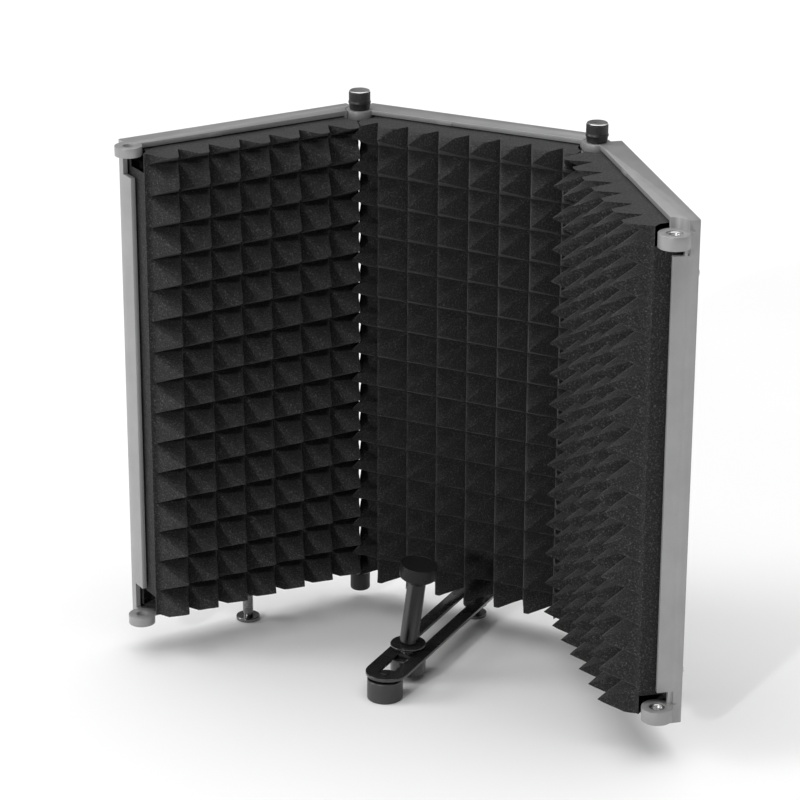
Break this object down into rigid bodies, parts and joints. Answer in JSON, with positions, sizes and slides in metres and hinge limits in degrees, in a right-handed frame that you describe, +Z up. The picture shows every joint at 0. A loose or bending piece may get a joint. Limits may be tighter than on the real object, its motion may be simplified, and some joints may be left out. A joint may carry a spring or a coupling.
{
  "type": "microphone isolation shield",
  "caption": "Folding desktop acoustic shield: framed pyramid-foam panels on thumb-screw hinges, screw feet, and a slotted arm with a tilting microphone post.",
  "frame": {"origin": "centre of the middle screw foot's bottom face, on the surface that the shield stands on", "axes": "+Z up; -Y towards the microphone and the singer, the side the foam faces; +X to the right seen from that side"},
  "size_m": [0.3855, 0.1719, 0.3601],
  "materials": {
    "frame_silver": "satin silver-grey",
    "plate_black": "matt powder coat",
    "foam_black": "open-cell foam",
    "bright_metal": "plated",
    "grip_black": "knurled, matt",
    "dark_chrome": "black chrome",
    "arm_black": "semi-gloss black paint",
    "knob_grey": "satin dark grey paint"
  },
  "bodies": {
    "centre_panel": {"centre_frame": "frame_silver", "centre_back_plate": "plate_black", "centre_foam_pad": "foam_black", "centre_plate_screw_1": "bright_metal", "centre_plate_screw_2": "bright_metal", "centre_plate_screw_3": "bright_metal", "centre_plate_screw_4": "bright_metal", "centre_upper_insert": "bright_metal", "centre_lower_insert": "bright_metal", "arm_spacer": "grip_black"},
    "left_panel": {"left_frame": "frame_silver", "left_back_plate": "plate_black", "left_foam_pad": "foam_black", "left_plate_screw_1": "bright_metal", "left_plate_screw_2": "bright_metal", "left_plate_screw_3": "bright_metal", "left_plate_screw_4": "bright_metal", "left_upper_insert": "bright_metal", "left_lower_insert": "bright_metal"},
    "right_panel": {"right_frame": "frame_silver", "right_back_plate": "plate_black", "right_foam_pad": "foam_black", "right_plate_screw_1": "bright_metal", "right_plate_screw_2": "bright_metal", "right_plate_screw_3": "bright_metal", "right_plate_screw_4": "bright_metal", "right_upper_insert": "bright_metal", "right_lower_insert": "bright_metal"},
    "left_hinge_upper_knob": {"left_hinge_upper_screw": "bright_metal", "left_hinge_upper_grip": "grip_black"},
    "left_hinge_lower_knob": {"left_hinge_lower_screw": "bright_metal", "left_hinge_lower_grip": "grip_black"},
    "right_hinge_upper_knob": {"right_hinge_upper_screw": "bright_metal", "right_hinge_upper_grip": "grip_black"},
    "right_hinge_lower_knob": {"right_hinge_lower_screw": "bright_metal", "right_hinge_lower_grip": "grip_black"},
    "left_screw_foot": {"left_foot": "dark_chrome"},
    "centre_screw_foot": {"centre_foot": "dark_chrome"},
    "right_screw_foot": {"right_foot": "dark_chrome"},
    "arm": {"slotted_arm": "arm_black", "stand_stud": "arm_black"},
    "arm_clamp": {"arm_clamp_nut": "grip_black", "arm_clamp_washer": "dark_chrome"},
    "mic_carriage": {"slot_guide": "grip_black"},
    "mic_swivel": {"swivel_stud": "dark_chrome", "socket_cap": "arm_black"},
    "mic_clamp": {"carriage_nut": "arm_black"},
    "mic_tilting_post": {"mic_post": "knob_grey"},
    "mic_head": {"mic_post_cap": "arm_black"},
    "stand_adapter": {"stand_knob": "knob_grey"}
  },
  "joints": [
    {"name": "left_panel_hinge", "type": "hinge", "parent": "centre_panel", "child": "left_panel", "pos_m": [-0.08315, -0.008, 0.185], "axis": [0, 0, 1], "range_deg": [-56.8, 0.7]},
    {"name": "right_panel_hinge", "type": "hinge", "parent": "centre_panel", "child": "right_panel", "pos_m": [0.08315, -0.008, 0.185], "axis": [0, 0, 1], "range_deg": [-0.7, 51.6]},
    {"name": "left_hinge_upper_turn", "type": "hinge", "parent": "left_panel", "child": "left_hinge_upper_knob", "pos_m": [-0.08315, -0.008, 0.353], "axis": [0, 0, 1], "continuous": true},
    {"name": "left_hinge_lower_turn", "type": "hinge", "parent": "left_panel", "child": "left_hinge_lower_knob", "pos_m": [-0.08315, -0.008, 0.014], "axis": [0, 0, 1], "continuous": true},
    {"name": "right_hinge_upper_turn", "type": "hinge", "parent": "centre_panel", "child": "right_hinge_upper_knob", "pos_m": [0.08315, -0.008, 0.353], "axis": [0, 0, 1], "continuous": true},
    {"name": "right_hinge_lower_turn", "type": "hinge", "parent": "centre_panel", "child": "right_hinge_lower_knob", "pos_m": [0.08315, -0.008, 0.014], "axis": [0, 0, 1], "continuous": true},
    {"name": "left_foot_turn", "type": "hinge", "parent": "left_panel", "child": "left_screw_foot", "pos_m": [-0.13537, -0.0732, 0.01], "axis": [0, 0, 1], "continuous": true},
    {"name": "centre_foot_turn", "type": "hinge", "parent": "centre_panel", "child": "centre_screw_foot", "pos_m": [0, 0, 0.01], "axis": [0, 0, 1], "continuous": true},
    {"name": "right_foot_turn", "type": "hinge", "parent": "right_panel", "child": "right_screw_foot", "pos_m": [0.14107, -0.0682, 0.01], "axis": [0, 0, 1], "continuous": true},
    {"name": "arm_slide", "type": "slide", "parent": "centre_panel", "child": "arm", "axis": [0, 1, 0], "range_m": [-0.004, 0.016]},
    {"name": "arm_clamp_turn", "type": "hinge", "parent": "centre_panel", "child": "arm_clamp", "pos_m": [0, 0, 0.012], "axis": [0, 0, 1], "continuous": true},
    {"name": "mic_carriage_slide", "type": "slide", "parent": "arm", "child": "mic_carriage", "axis": [0, 1, 0], "range_m": [-0.01, 0.026]},
    {"name": "mic_swivel_turn", "type": "hinge", "parent": "mic_carriage", "child": "mic_swivel", "pos_m": [0, -0.104, 0.0166], "axis": [0, 0, 1], "continuous": true},
    {"name": "mic_clamp_turn", "type": "hinge", "parent": "mic_swivel", "child": "mic_clamp", "pos_m": [0, -0.104, 0.0096], "axis": [0, 0, 1], "continuous": true},
    {"name": "mic_post_tilt", "type": "hinge", "parent": "mic_swivel", "child": "mic_tilting_post", "pos_m": [0, -0.104, 0.0216], "axis": [0, 1, 0], "range_deg": [-19.3, 4.7]},
    {"name": "mic_head_turn", "type": "hinge", "parent": "mic_tilting_post", "child": "mic_head", "pos_m": [0.00769, -0.104, 0.08161], "axis": [0.1271, 0, 0.9919], "continuous": true},
    {"name": "stand_adapter_turn", "type": "hinge", "parent": "arm", "child": "stand_adapter", "pos_m": [0, -0.1377, 0.007], "axis": [0, 0, 1], "continuous": true}
  ]
}
